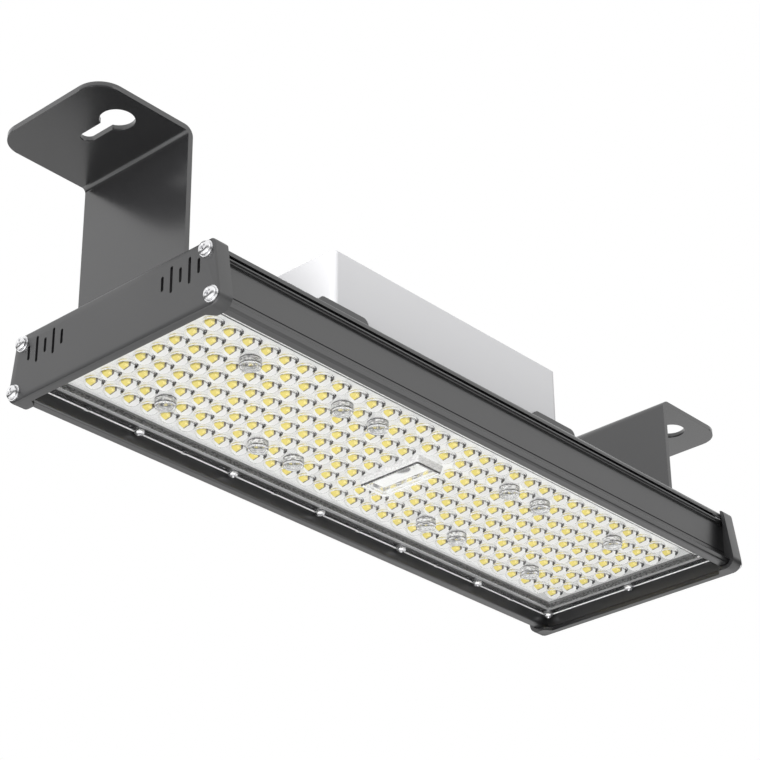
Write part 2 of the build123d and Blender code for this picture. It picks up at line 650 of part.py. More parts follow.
# LED driver on the box's floor
with BuildPart() as driver:
    with BuildSketch(Plane.XY.offset(FLOOR)):
        with Locations((DRIVER_X, 0)):
            Rectangle(DRIVER_FLANGE, DRIVER_WIDTH)
        small_rounds(DRIVER_SPOTS, SMALL_SCREW_R + SLIP, Mode.SUBTRACT)
    extrude(amount=DRIVER_SHEET)
    with BuildSketch(Plane.XY.offset(FLOOR)):
        with Locations((DRIVER_X, 0)):
            Rectangle(DRIVER_LENGTH, DRIVER_WIDTH)
    extrude(amount=DRIVER_HEIGHT)
    chamfer(driver.edges().filter_by(Axis.X).group_by(Axis.Z)[-1], 2)
write(driver.part, "led_driver")

driver_screws = screws_down(
    DRIVER_SPOTS, FLOOR + DRIVER_SHEET, SMALL_SCREW_R, SMALL_HEAD_R, SMALL_HEAD, DRIVER_SHEET + BOX_WALL + 1, 1
)
write(driver_screws, "driver_screws")


def grommet(x, under, thick):
    """Rubber grommet in a hole of a plate of this thickness, with a rim on each side of it."""
    with BuildPart() as ring:
        for level, radius, height in (
            (under - GROMMET_RIM_THICK, GROMMET_RIM, GROMMET_RIM_THICK),
            (under, GROMMET_NECK, thick),
            (under + thick, GROMMET_RIM, GROMMET_RIM_THICK),
        ):
            with BuildSketch(Plane.XY.offset(level)):
                small_rounds([(x, 0)], radius)
                small_rounds([(x, 0)], LEAD_R, Mode.SUBTRACT)
            extrude(amount=height)
    return ring.part


write(grommet(WINDOW_MID, PLATE_UNDER, PLATE_THICK), "board_grommet")
write(grommet(LEAD_X, BOX_UNDER, BOX_WALL), "box_grommet")

# Sleeve round the leads: from the board, along the gap between the two middle fins, into the box
with BuildPart() as sleeve:
    with BuildLine() as route:
        FilletPolyline(
            (WINDOW_MID, 0, BOARD_UNDER),
            (WINDOW_MID, 0, LEAD_LEVEL),
            (LEAD_X, 0, LEAD_LEVEL),
            (LEAD_X, 0, FLOOR + 6),
            radius=LEAD_BEND,
        )
    with BuildSketch(Plane.XY.offset(BOARD_UNDER)):
        small_rounds([(WINDOW_MID, 0)], LEAD_R)
    sweep()
write(sleeve.part, "lead_sleeve")

# Supply gland on the far end of the box, with its nut inside
with BuildPart() as gland:
    with BuildSketch(Plane.YZ.offset(BOX_X)):
        with Locations((0, GLAND_Z)):
            RegularPolygon(GLAND_HEX_R, 6)
    extrude(amount=5)
    with BuildSketch(Plane.YZ.offset(BOX_X + 5)):
        with Locations((0, GLAND_Z)):
            RegularPolygon(GLAND_DOME_R, GLAND_SIDES)
    extrude(amount=11)
    chamfer(gland.faces().sort_by(Axis.X)[-1].edges(), 2)
    with BuildSketch(Plane.YZ.offset(BOX_X)):
        with Locations((0, GLAND_Z)):
            RegularPolygon(GLAND_R, GLAND_SIDES)
    extrude(amount=-(BOX_WALL + 7))
    with BuildSketch(Plane.YZ.offset(BOX_X - BOX_WALL - 7)):
        with Locations((0, GLAND_Z)):
            Circle(4)
    extrude(amount=30, mode=Mode.SUBTRACT)
write(gland.part, "supply_gland")

with BuildPart() as nut:
    with BuildSketch(Plane.YZ.offset(BOX_X - BOX_WALL)):
        with Locations((0, GLAND_Z)):
            RegularPolygon(GLAND_HEX_R, 6)
            RegularPolygon(GLAND_R, GLAND_SIDES, mode=Mode.SUBTRACT)
    extrude(amount=-4.5)
write(nut.part, "gland_nut")
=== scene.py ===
"""Linear LED high bay light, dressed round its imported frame: clear lens panel, LEDs, screws, end caps,
gland, coats and a plain studio. Metres, in the frame's own axes."""

import math

import bmesh
import bpy
from mathutils import Matrix, Vector
from mathutils.kdtree import KDTree


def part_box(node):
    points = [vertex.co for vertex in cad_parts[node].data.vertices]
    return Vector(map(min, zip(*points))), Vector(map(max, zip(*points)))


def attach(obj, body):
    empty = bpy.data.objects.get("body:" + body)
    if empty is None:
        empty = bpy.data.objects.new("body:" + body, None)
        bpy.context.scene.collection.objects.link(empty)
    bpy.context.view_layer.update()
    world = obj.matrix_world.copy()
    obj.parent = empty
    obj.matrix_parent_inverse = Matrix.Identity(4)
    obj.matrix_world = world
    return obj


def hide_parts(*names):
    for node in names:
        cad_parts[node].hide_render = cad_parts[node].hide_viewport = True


bl_info = {
    "name": "Linear high bay light",
    "version": (1, 0, 0),
    "blender": (4, 5, 0),
    "location": "3D View > Sidebar > High bay",
    "description": "Lens panel, LEDs, screws, end caps, gland, coats and studio round the packed frame",
    "category": "Object",
}

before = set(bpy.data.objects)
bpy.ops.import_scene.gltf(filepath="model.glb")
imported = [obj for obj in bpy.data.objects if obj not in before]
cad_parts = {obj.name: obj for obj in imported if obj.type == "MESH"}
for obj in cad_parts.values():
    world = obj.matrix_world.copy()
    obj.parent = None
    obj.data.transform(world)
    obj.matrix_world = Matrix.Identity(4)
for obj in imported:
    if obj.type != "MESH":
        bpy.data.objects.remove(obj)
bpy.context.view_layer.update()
BODY = "root"
MM = 0.001
ENDS = (-1, 1)

# Places that the frame's solids give
PANEL_X, PANEL_Y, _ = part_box("lens_panel")[1]
BOARD_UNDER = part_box("led_board")[0].z
CAP_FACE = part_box("end_cap_right")[1].x
CAP_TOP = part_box("end_cap_right")[1].z
BOX_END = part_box("box_tray")[1].x

# Lens panel: levels of its ridge and field, the LED grid, and how far each lens is from its LED
RIDGE_UNDER = 9.6 * MM
FIELD_UNDER = 12.4 * MM
RIDGE_IN = 9.7 * MM
LENS_MID = 0.2 * MM
PITCH, ROW_PITCH = 12.5 * MM, 12.0 * MM
CHIP_SHIFT = -1.6 * MM
LED_FACE = 12.42 * MM

# Lenses: rings of the dome as turns in degrees from its tip, the low rim round its foot, and the grey arcs
# painted on each lens as a reflection along its outline, as radii and the turns in degrees between which
# they show
LENS_RINGS = (0, 12, 22, 29, 32.5, 42, 46, 54)
RIM = 0.3 * MM
LENS_REFLECTION_ARCS = ((2.8 * MM, 3.1 * MM, -33, 117), (3.87 * MM, 4.13 * MM, -65, 15))

# Depths under the field where the finish of a screw dome's wall changes
CUP_BANDS = (3.5 * MM, 3.0 * MM, 0.5 * MM)

# Centre window
WINDOW_MID = -1.7 * MM
WINDOW_HALF_X, WINDOW_HALF_Y = 10.5 * MM, 21.5 * MM
WINDOW_HEIGHT = 4.6 * MM

# Screws along the panel's edges, and the hole that takes one
LENS_SCREW_STEP = 66.6 * MM
LENS_SCREW_HOLE = 1.6 * MM

# End caps: half widths and corner rounding at foot and top, screw bores as (y, z) in mm, and the vents of
# one side, their distances from the middle in mm
CAP_FOOT_HALF, CAP_TOP_HALF = 75.3 * MM, 70.2 * MM
CAP_CORNERS = (6 * MM, 3 * MM)
CAP_BORES = ((-65.3, 31.5), (65.3, 31.5), (-69.5, 5.75), (69.5, 5.75))
VENT_YS = (35.7, 41.85, 48.0, 54.15, 60.3)
VENT_Z = 24.7 * MM
SHORT_VENT, LONG_VENT = 8.2 * MM, 14.4 * MM


# Meshes: a form is a list of corners and a list of faces

def steps(count, start=0.0, end=2 * math.pi, closed=True):
    """Angles from start to end, the last one left out where they close a circle."""
    return [start + (end - start) * i / (count if closed else count - 1) for i in range(count)]


def lathed(profile, segments):
    """A closed solid of revolution about Z from (radius, height) pairs that start and end on the axis."""
    corners, rings = [], []
    for radius, height in profile:
        angles = steps(segments) if radius > 1e-9 else [0.0]
        rings.append(range(len(corners), len(corners) + len(angles)))
        corners += [(radius * math.cos(a), radius * math.sin(a), height) for a in angles]
    faces = []
    for low, high in zip(rings, rings[1:]):
        for i in range(segments):
            j = i + 1
            quad = [low[i % len(low)], low[j % len(low)], high[j % len(high)], high[i % len(high)]]
            faces.append(tuple(dict.fromkeys(quad)))
    return corners, faces


def washer_form(inner, outer, profile, segments):
    """A ring about Z whose section is the closed list of (share of the width, height) pairs."""
    corners, faces, count = [], [], len(profile)
    for angle in steps(segments):
        for share, height in profile:
            radius = inner + (outer - inner) * share
            corners.append((radius * math.cos(angle), radius * math.sin(angle), height))
    for i in range(segments):
        for j in range(count):
            here, there = i * count, (i + 1) % segments * count
            faces.append((here + j, there + j, there + (j + 1) % count, here + (j + 1) % count))
    return corners, faces


def stacked(rings):
    """A closed solid from rings of equally many points, capped at both ends."""
    count = len(rings[0])
    corners = [tuple(point) for ring in rings for point in ring]
    faces = [tuple(reversed(range(count))), tuple(range(len(corners) - count, len(corners)))]
    for level in range(len(rings) - 1):
        low = level * count
        for i in range(count):
            j = (i + 1) % count
            faces.append((low + i, low + j, low + count + j, low + count + i))
    return corners, faces


def rounded(points, radii, arc=5):
    """A convex outline with its corners rounded, as (u, v) pairs."""
    outline = []
    for i, radius in enumerate(radii):
        here = Vector(points[i])
        back = (Vector(points[i - 1]) - here).normalized()
        on = (Vector(points[(i + 1) % len(points)]) - here).normalized()
        half = back.angle(on) / 2
        middle = here + (back + on).normalized() * radius / math.sin(half)
        start, end = here + back * radius / math.tan(half), here + on * radius / math.tan(half)
        for step in range(arc):
            along = (start - middle).lerp(end - middle, step / (arc - 1))
            outline.append(tuple(middle + along.normalized() * radius))
    return outline


def inset(points, distance):
    """A convex outline, anticlockwise, with each side moved in by the distance."""
    lines = []
    for i, point in enumerate(points):
        here, there = Vector(point), Vector(points[(i + 1) % len(points)])
        inward = Vector((here.y - there.y, there.x - here.x)).normalized() * distance
        lines.append((here + inward, there + inward))
    moved = []
    for before, after in zip([lines[-1]] + lines[:-1], lines):
        run, other = before[1] - before[0], after[1] - after[0]
        share = (after[0] - before[0]).cross(other) / run.cross(other)
        moved.append(tuple(before[0] + run * share))
    return moved


def rectangle(x, y):
    """The corners of a rectangle about the origin, from its half sizes, anticlockwise."""
    return [(-x, -y), (x, -y), (x, y), (-x, y)]


def arc_points(radius, angles):
    """Points at a radius from the origin."""
    return [(radius * math.cos(angle), radius * math.sin(angle)) for angle in angles]


def prism(outline, low, high):
    """A flat outline drawn out along Z between two levels."""
    return stacked([[(x, y, z) for x, y in outline] for z in (low, high)])


def rod(radius, low, high, segments):
    """A round rod along Z between two levels."""
    return lathed([(0, low), (radius, low), (radius, high), (0, high)], segments)


def moved(form, matrix):
    """The form at another place."""
    corners, faces = form
    return [tuple(matrix @ Vector(corner)) for corner in corners], faces


def joined(forms):
    """Several forms as one."""
    corners, faces = [], []
    for some_corners, some_faces in forms:
        faces += [tuple(i + len(corners) for i in face) for face in some_faces]
        corners += some_corners
    return corners, faces


def block(low, high):
    """A box between two corners."""
    ring = [(low[0], low[1]), (high[0], low[1]), (high[0], high[1]), (low[0], high[1])]
    return prism(ring, low[2], high[2])


def at(x, y, z):
    """A move to that place."""
    return Matrix.Translation((x, y, z))


def facing(direction):
    """The turn that points Z in that direction."""
    return Vector(direction).to_track_quat("Z", "Y").to_matrix().to_4x4()


def mesh_of(name, form):
    """A mesh with its faces turned outward."""
    mesh = bpy.data.meshes.new(name)
    mesh.from_pydata(form[0], [], form[1])
    work = bmesh.new()
    work.from_mesh(mesh)
    bmesh.ops.recalc_face_normals(work, faces=work.faces)
    work.to_mesh(mesh)
    work.free()
    return mesh


def form_of(mesh):
    """A mesh's corners and faces."""
    return [tuple(v.co) for v in mesh.vertices], [tuple(p.vertices) for p in mesh.polygons]


def gridded(form, lines_x, lines_y):
    """The form with its faces divided along planes, so that no face gets many holes."""
    work = bmesh.new()
    mesh = mesh_of("grid", form)
    work.from_mesh(mesh)
    for axis, lines in ((0, lines_x), (1, lines_y)):
        for line in lines:
            point, normal = [0.0] * 3, [0.0] * 3
            point[axis], normal[axis] = line, 1.0
            every = work.verts[:] + work.edges[:] + work.faces[:]
            bmesh.ops.bisect_plane(work, geom=every, dist=1e-7, plane_co=point, plane_no=normal)
    work.to_mesh(mesh)
    work.free()
    return form_of(mesh)


def carved(name, form, added=(), cut=()):
    """The form's mesh with other forms united with it and then others taken out of it, in turn. The
    solids within one of them stay clear of each other."""
    base = bpy.data.objects.new(name, mesh_of(name, form))
    bpy.context.collection.objects.link(base)
    helpers = []
    for operation, others in (("UNION", added), ("DIFFERENCE", cut)):
        for other in others:
            helper = bpy.data.objects.new(name + "_tool", mesh_of(name + "_tool", other))
            bpy.context.collection.objects.link(helper)
            helpers.append(helper)
            step = base.modifiers.new(operation, "BOOLEAN")
            step.operation = operation
            step.solver = "MANIFOLD"
            step.object = helper
    graph = bpy.context.evaluated_depsgraph_get()
    mesh = bpy.data.meshes.new_from_object(base.evaluated_get(graph))
    if not mesh.polygons:
        raise RuntimeError(f"{name} came out empty")
    for helper in helpers + [base]:
        bpy.data.objects.remove(helper)
    return mesh


def piece(name, mesh, materials, replaces=(), angle=30, bevel=0.0):
    """Links a piece, rides it on the frame and hides the parts that it stands for."""
    obj = bpy.data.objects.new(name, mesh)
    bpy.context.collection.objects.link(obj)
    mesh.shade_smooth()
    mesh.set_sharp_from_angle(angle=math.radians(angle))
    mesh.materials.clear()
    for material in materials:
        mesh.materials.append(material)
    if bevel:
        soft_edges(obj, bevel)
    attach(obj, BODY)
    if replaces:
        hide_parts(*replaces)
    return obj


def soft_edges(obj, width, weld=False):
    """Rounds the sharp edges with a bevel modifier."""
    if weld:
        obj.modifiers.new("weld", "WELD").merge_threshold = 0.002 * MM
    bevel = obj.modifiers.new("edges", "BEVEL")
    bevel.width = width
    bevel.segments = 2
    bevel.limit_method = "ANGLE"
    bevel.angle_limit = math.radians(35)
    bevel.use_clamp_overlap = True
    bevel.harden_normals = True


def islands(node):
    """The box of each separate solid in a CAD node, as (lowest corner, highest corner)."""
    work = bmesh.new()
    work.from_mesh(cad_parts[node].data)
    bmesh.ops.remove_doubles(work, verts=work.verts, dist=0.001 * MM)
    seen, boxes = set(), []
    for vertex in work.verts:
        if vertex.index in seen:
            continue
        group, stack = [], [vertex]
        seen.add(vertex.index)
        while stack:
            here = stack.pop()
            group.append(here.co.copy())
            for edge in here.link_edges:
                there = edge.other_vert(here)
                if there.index not in seen:
                    seen.add(there.index)
                    stack.append(there)
        low = Vector(min(co[i] for co in group) for i in range(3))
        high = Vector(max(co[i] for co in group) for i in range(3))
        boxes.append((low, high))
    work.free()
    return boxes


def middles(node):
    """The middle of each separate solid in a CAD node."""
    return [(low + high) / 2 for low, high in islands(node)]


# Shader maths

class Socket:
    """A node's output that takes part in plain arithmetic; each step adds a Math node."""

    def __init__(self, shader, output):
        self.shader = shader
        self.output = output

    def _math(self, operation, *others):
        return self.shader.node("ShaderNodeMath", {"operation": operation}, dict(enumerate(others)))

    def __add__(self, other):
        return self._math("ADD", self, other)

    __radd__ = __add__

    def __mul__(self, other):
        return self._math("MULTIPLY", self, other)

    __rmul__ = __mul__

    def __sub__(self, other):
        return self._math("SUBTRACT", self, other)

    def __rsub__(self, other):
        return self._math("SUBTRACT", other, self)

    def highest(self, other):
        return self._math("MAXIMUM", self, other)


class Shader:
    """A material's or world's node tree."""

    def __init__(self, tree):
        self.tree = tree
        tree.nodes.clear()

    def node(self, kind, settings=None, sockets=None, output=0):
        """Adds a node: its settings first, then its sockets' values or links."""
        made = self.tree.nodes.new(kind)
        for name, value in (settings or {}).items():
            if name == "stops":
                ramp = made.color_ramp.elements
                for i, (place, shade) in enumerate(value):
                    stop = ramp[i] if i < 2 else ramp.new(place)
                    stop.position = place
                    stop.color = (shade, shade, shade, 1)
            else:
                setattr(made, name, value)
        for name, value in (sockets or {}).items():
            if isinstance(value, Socket):
                self.tree.links.new(value.output, made.inputs[name])
            elif isinstance(value, tuple) and len(value) == 3 and made.inputs[name].type == "RGBA":
                made.inputs[name].default_value = (*value, 1)
            else:
                made.inputs[name].default_value = value
        return Socket(self, made.outputs[output])

    def place(self):
        """Where the surface is, in metres."""
        return self.node("ShaderNodeTexCoord", output="Object")

    def noise(self, scale, detail=2.0, stretch=None):
        """Noise from 0 to 1, scale in features per metre."""
        where = self.place()
        if stretch:
            where = self.node("ShaderNodeMapping", {}, {"Vector": where, "Scale": stretch})
        sockets = {"Vector": where, "Scale": scale, "Detail": detail, "Roughness": 0.55}
        return self.node("ShaderNodeTexNoise", {"noise_dimensions": "3D"}, sockets)

    def blend(self, factor, first, second):
        """A colour between two."""
        sockets = {0: factor, 6: tuple(first), 7: tuple(second)}
        return self.node("ShaderNodeMix", {"data_type": "RGBA"}, sockets, output=2)

    def ramp(self, factor, stops):
        """A grey that follows the factor through stops of (place, level)."""
        return self.node("ShaderNodeValToRGB", {"stops": stops}, {"Fac": factor}, output="Color")

    def bump(self, height, distance, strength=1.0):
        """A normal from a height."""
        sockets = {"Height": height, "Distance": distance, "Strength": strength}
        return self.node("ShaderNodeBump", {}, sockets)

    def ray(self, kind):
        """1 on rays of that kind, 0 on others."""
        return self.node("ShaderNodeLightPath", output=kind)

    def surface(self, sockets, lets_light_by=False):
        """The Principled surface and the output. Where it lets light by, the light on its way to what
        lies behind passes straight through."""
        shade = self.node("ShaderNodeBsdfPrincipled", {}, sockets, output="BSDF")
        if lets_light_by:
            clear = self.node("ShaderNodeBsdfTransparent", {}, {"Color": (0.95, 0.95, 0.95)})
            by = self.ray("Is Shadow Ray").highest(self.ray("Is Diffuse Ray"))
            shade = self.node("ShaderNodeMixShader", {}, {0: by, 1: shade, 2: clear})
        self.node_out(shade)

    def node_out(self, shade, kind="ShaderNodeOutputMaterial"):
        """Links the shade to the output."""
        made = self.tree.nodes.new(kind)
        self.tree.links.new(shade.output, made.inputs["Surface"])


def material(name):
    """A new material and its shader."""
    made = bpy.data.materials.new(name)
    made.use_nodes = True
    return made, Shader(made.node_tree)


def mix_tone(colour, factor):
    """The colour made lighter or darker."""
    return tuple(min(1.0, channel * factor) for channel in colour)


def powder_coat(name, colour, roughness=0.5, grain=0.35 * MM):
    """Matt powder coat: an even tone with a fine pebbled surface and slightly uneven gloss."""
    made, shader = material(name)
    pebble = shader.noise(1 / grain, 1.5)
    cloud = shader.noise(22.0, 3.0)
    shader.surface({
        "Base Color": shader.blend(cloud, mix_tone(colour, 0.9), mix_tone(colour, 1.1)),
        "Roughness": roughness - 0.06 + 0.1 * cloud + 0.05 * pebble,
        "Specular IOR Level": 1.0,
        "Normal": shader.bump(pebble, 0.012 * MM, 0.6),
    })
    return made


def pale_coat(name, colour):
    """Satin pale coat on sheet metal, with faint rolling streaks along X."""
    made, shader = material(name)
    streak = shader.noise(60.0, 3.0, stretch=(0.06, 1.0, 1.0))
    speck = shader.noise(2600.0, 1.0)
    shader.surface({
        "Base Color": shader.blend(streak, mix_tone(colour, 0.975), mix_tone(colour, 1.02)),
        "Roughness": 0.34 + 0.1 * streak,
        "Normal": shader.bump(speck, 0.006 * MM, 0.5),
    })
    return made


def bright_zinc(name, colour):
    """Bright zinc plate with fine turning marks and uneven gloss."""
    made, shader = material(name)
    cloud = shader.noise(900.0, 2.0)
    marks = shader.noise(6000.0, 1.0, stretch=(1.0, 1.0, 0.15))
    shader.surface({
        "Base Color": shader.blend(cloud, mix_tone(colour, 0.9), mix_tone(colour, 1.05)),
        "Metallic": 1.0,
        "Roughness": 0.2 + 0.14 * cloud,
        "Normal": shader.bump(marks, 0.003 * MM, 0.4),
    })
    return made


def mill_aluminium(name, colour):
    """Plain rolled aluminium with streaks along X."""
    made, shader = material(name)
    streak = shader.noise(900.0, 2.0, stretch=(0.04, 1.0, 1.0))
    shader.surface({
        "Base Color": shader.blend(streak, mix_tone(colour, 0.9), mix_tone(colour, 1.06)),
        "Metallic": 1.0,
        "Roughness": 0.32 + 0.16 * streak,
        "Normal": shader.bump(streak, 0.004 * MM, 0.4),
    })
    return made


def clear_plastic(name, colour):
    """Clear polycarbonate, polished, with a trace of flow in its surface."""
    made, shader = material(name)
    flow = shader.noise(70.0, 2.0)
    shader.surface({
        "Base Color": tuple(colour),
        "Transmission Weight": 1.0,
        "IOR": 1.58,
        "Roughness": 0.01 + 0.02 * flow,
        "Normal": shader.bump(flow, 0.01 * MM, 0.2),
    }, lets_light_by=True)
    return made


def streaked_grey(name, low, high):
    """Frosted plastic with streaks between a low and a high level of grey; on the lens arcs the grey is
    painted reflection.
    """
    made, shader = material(name)
    streak = shader.noise(700.0, 2.0, stretch=(1.0, 1.0, 2.2))
    shader.surface({
        "Base Color": shader.blend(shader.ramp(streak, [(0.42, 0.0), (0.58, 1.0)]), (low,) * 3, (high,) * 3),
        "Roughness": 0.35 + 0.2 * streak,
    }, lets_light_by=True)
    return made


def moulded(name, colour, roughness=0.4, grain=0.25 * MM, depth=0.006 * MM):
    """Moulded plastic or rubber with a fine grain."""
    made, shader = material(name)
    fine = shader.noise(1 / grain, 1.5)
    cloud = shader.noise(120.0, 2.0)
    shader.surface({
        "Base Color": shader.blend(cloud, mix_tone(colour, 0.94), mix_tone(colour, 1.04)),
        "Roughness": roughness - 0.05 + 0.1 * fine,
        "Normal": shader.bump(fine, depth, 0.6),
    })
    return made


def solder_mask(name, colour):
    """White solder mask: glossy, with the copper's edges showing as faint steps."""
    made, shader = material(name)
    where = shader.place()
    copper = shader.node(
        "ShaderNodeTexBrick",
        {"offset": 0.5, "squash": 1.0},
        {
            "Vector": where, "Scale": 1.0, "Mortar Size": 0.35 * MM, "Mortar Smooth": 0.1,
            "Brick Width": PITCH, "Row Height": ROW_PITCH,
        },
        output="Fac",
    )
    speck = shader.noise(3000.0, 1.0)
    shader.surface({
        "Base Color": shader.blend(copper, colour, mix_tone(colour, 0.9)),
        "Roughness": 0.28 + 0.08 * speck,
        "Coat Weight": 0.3,
        "Normal": shader.bump(copper + 0.1 * speck, 0.03 * MM, 0.6),
    })
    return made


def phosphor(name, colour):
    """Yellow phosphor in clear resin: grainy and a little uneven."""
    made, shader = material(name)
    grains = shader.noise(9000.0, 2.0)
    shader.surface({
        "Base Color": shader.blend(grains, mix_tone(colour, 0.88), mix_tone(colour, 1.08)),
        "Roughness": 0.3 + 0.1 * grains,
        "Normal": shader.bump(grains, 0.01 * MM, 0.4),
    })
    return made


# Sizes and colours that a user may change

def length(name, description, default):
    """A length in metres."""
    return bpy.props.FloatProperty(
        name=name, description=description, default=default, unit="LENGTH", precision=5
    )


def tint(name, description, default):
    """A colour."""
    return bpy.props.FloatVectorProperty(
        name=name, description=description, default=default, subtype="COLOR", size=3, min=0.0, max=1.0
    )


class HIGHBAY_PG_sizes(bpy.types.PropertyGroup):
    """Sizes of the added detail."""

    lens_radius: length("Lens radius", "Half the width of one lens", 5.15 * MM)
    lens_height: length("Lens height", "How far a lens stands below the panel's field", 3.2 * MM)
    dome_radius: length("Dome radius", "Half the width of a dome over a board screw", 5.6 * MM)
    dome_height: length("Dome height", "How far a dome stands below the panel's field", 4.9 * MM)
    wall: length("Clear wall", "Wall of the domes and of the window", 1.4 * MM)
    vent_width: length("Vent width", "Width of the slots in the end caps", 1.8 * MM)
    edge: length("Edge rounding", "Rounding of the coated edges", 0.25 * MM)


class HIGHBAY_PG_colours(bpy.types.PropertyGroup):
    """Colours of the finishes."""

    housing: tint("Housing", "Powder coat of the housing", (0.009, 0.009, 0.0095))
    cap: tint("End caps", "Powder coat of the end caps", (0.009, 0.009, 0.0095))
    bracket: tint("Brackets", "Powder coat of the hanging brackets", (0.008, 0.008, 0.0085))
    saddle: tint("Saddles", "Powder coat of the box's saddles", (0.014, 0.014, 0.015))
    box: tint("Driver box", "Satin coat of the driver box", (0.5, 0.5, 0.51))
    zinc: tint("Screws", "Bright zinc of screws and washers", (0.78, 0.78, 0.79))
    lens: tint("Lens panel", "Clear plastic", (0.985, 0.99, 0.99))
    silicone: tint("Seal", "Grey silicone", (0.3, 0.3, 0.3))
    board: tint("LED board", "White solder mask", (0.88, 0.88, 0.87))
    phosphor: tint("Phosphor", "Yellow of the LEDs", (0.77, 0.64, 0.13))
    rubber: tint("Rubber", "Black grommets and sleeve", (0.03, 0.03, 0.03))
    nylon: tint("Gland", "Black nylon of the gland", (0.035, 0.035, 0.037))
    aluminium: tint("Aluminium", "Bare aluminium of the driver", (0.6, 0.6, 0.61))


def sizes():
    """The sizes in use."""
    return bpy.context.scene.highbay_sizes


def colours():
    """The colours in use."""
    return bpy.context.scene.highbay_colours


# Lens panel

def panel_ring(distance, height):
    """The panel's outline at that distance in from its edge, as corners at that height."""
    x, y = PANEL_X - distance, PANEL_Y - distance
    corner = max(2.2 * MM - distance, 0.5 * MM)
    outline = rounded(rectangle(x, y), [corner] * 4)
    return [(u, v, height) for u, v in outline]


def softened(profile, radius):
    """A profile with each inner point of it replaced by two, so that its corners are blunt."""
    points = [profile[0]]
    for before, here, after in zip(profile, profile[1:], profile[2:]):
        here = Vector(here)
        for other in (Vector(before), Vector(after)):
            way = other - here
            points.append(tuple(here + way.normalized() * min(radius, way.length / 2.5)))
    return points + [profile[-1]]


def panel_plate():
    """The panel's flange, ridge and field, swept round its rectangle: pairs of distance in from its edge
    and level, in mm."""
    profile = [
        (9.7, 12.4), (9.7, 9.6), (4.0, 9.6), (4.0, 11.4), (1.2, 11.4), (1.2, 9.6),
        (0.0, 9.6), (0.0, 13.4), (5.6, 13.4), (5.6, 11.1), (8.2, 11.1), (8.2, 14.4),
    ]
    return stacked([panel_ring(d * MM, z * MM) for d, z in softened(profile, 0.35)])


def dome_profile(radius, height, root):
    """A spherical cap that points down from a low rim on the field, with a root in the plate."""
    ball = (radius ** 2 + height ** 2) / (2 * height)
    reach = math.atan2(radius, ball - height)
    turns = [math.radians(turn) for turn in LENS_RINGS if math.radians(turn) < reach - 0.03] + [reach]
    tip = [(ball * math.sin(turn), (ball - height) - ball * math.cos(turn) - RIM) for turn in turns]
    return tip + [(radius, 0.0), (radius, root), (0.0, root)]


def cup_profile(radius, height, root, depths=()):
    """A round cup that points down: straight wall with rings at some depths, blunt edge and a slightly
    crowned end."""
    edge = 0.14 * radius
    middle, level = radius - edge, -height + 0.05 * radius
    points = [(0.0, -height), (0.6 * radius, -height + 0.02 * radius), (middle, level)]
    for angle in steps(4, 0.35, math.pi / 2, closed=False):
        points.append((middle + edge * math.sin(angle), level + edge * (1 - math.cos(angle))))
    points += [(radius, -depth) for depth in depths]
    return points + [(radius, 0.0), (radius, root), (0.0, root)]


def window_form(grow, tip, root):
    """The raised window's outline as a solid with sloping sides, from the field to its face."""
    half_x, half_y = WINDOW_HALF_X + grow, WINDOW_HALF_Y + grow
    rings = []
    for height, lean in ((root, 0.0), (0.0, 0.0), (tip + 0.9 * MM, 0.9 * MM), (tip, 1.3 * MM)):
        x, y = half_x - lean, half_y - lean
        outline = rounded(rectangle(x, y), [1.2 * MM] * 4)
        rings.append([(WINDOW_MID + u, v, FIELD_UNDER + height) for u, v in outline])
    return stacked(rings)


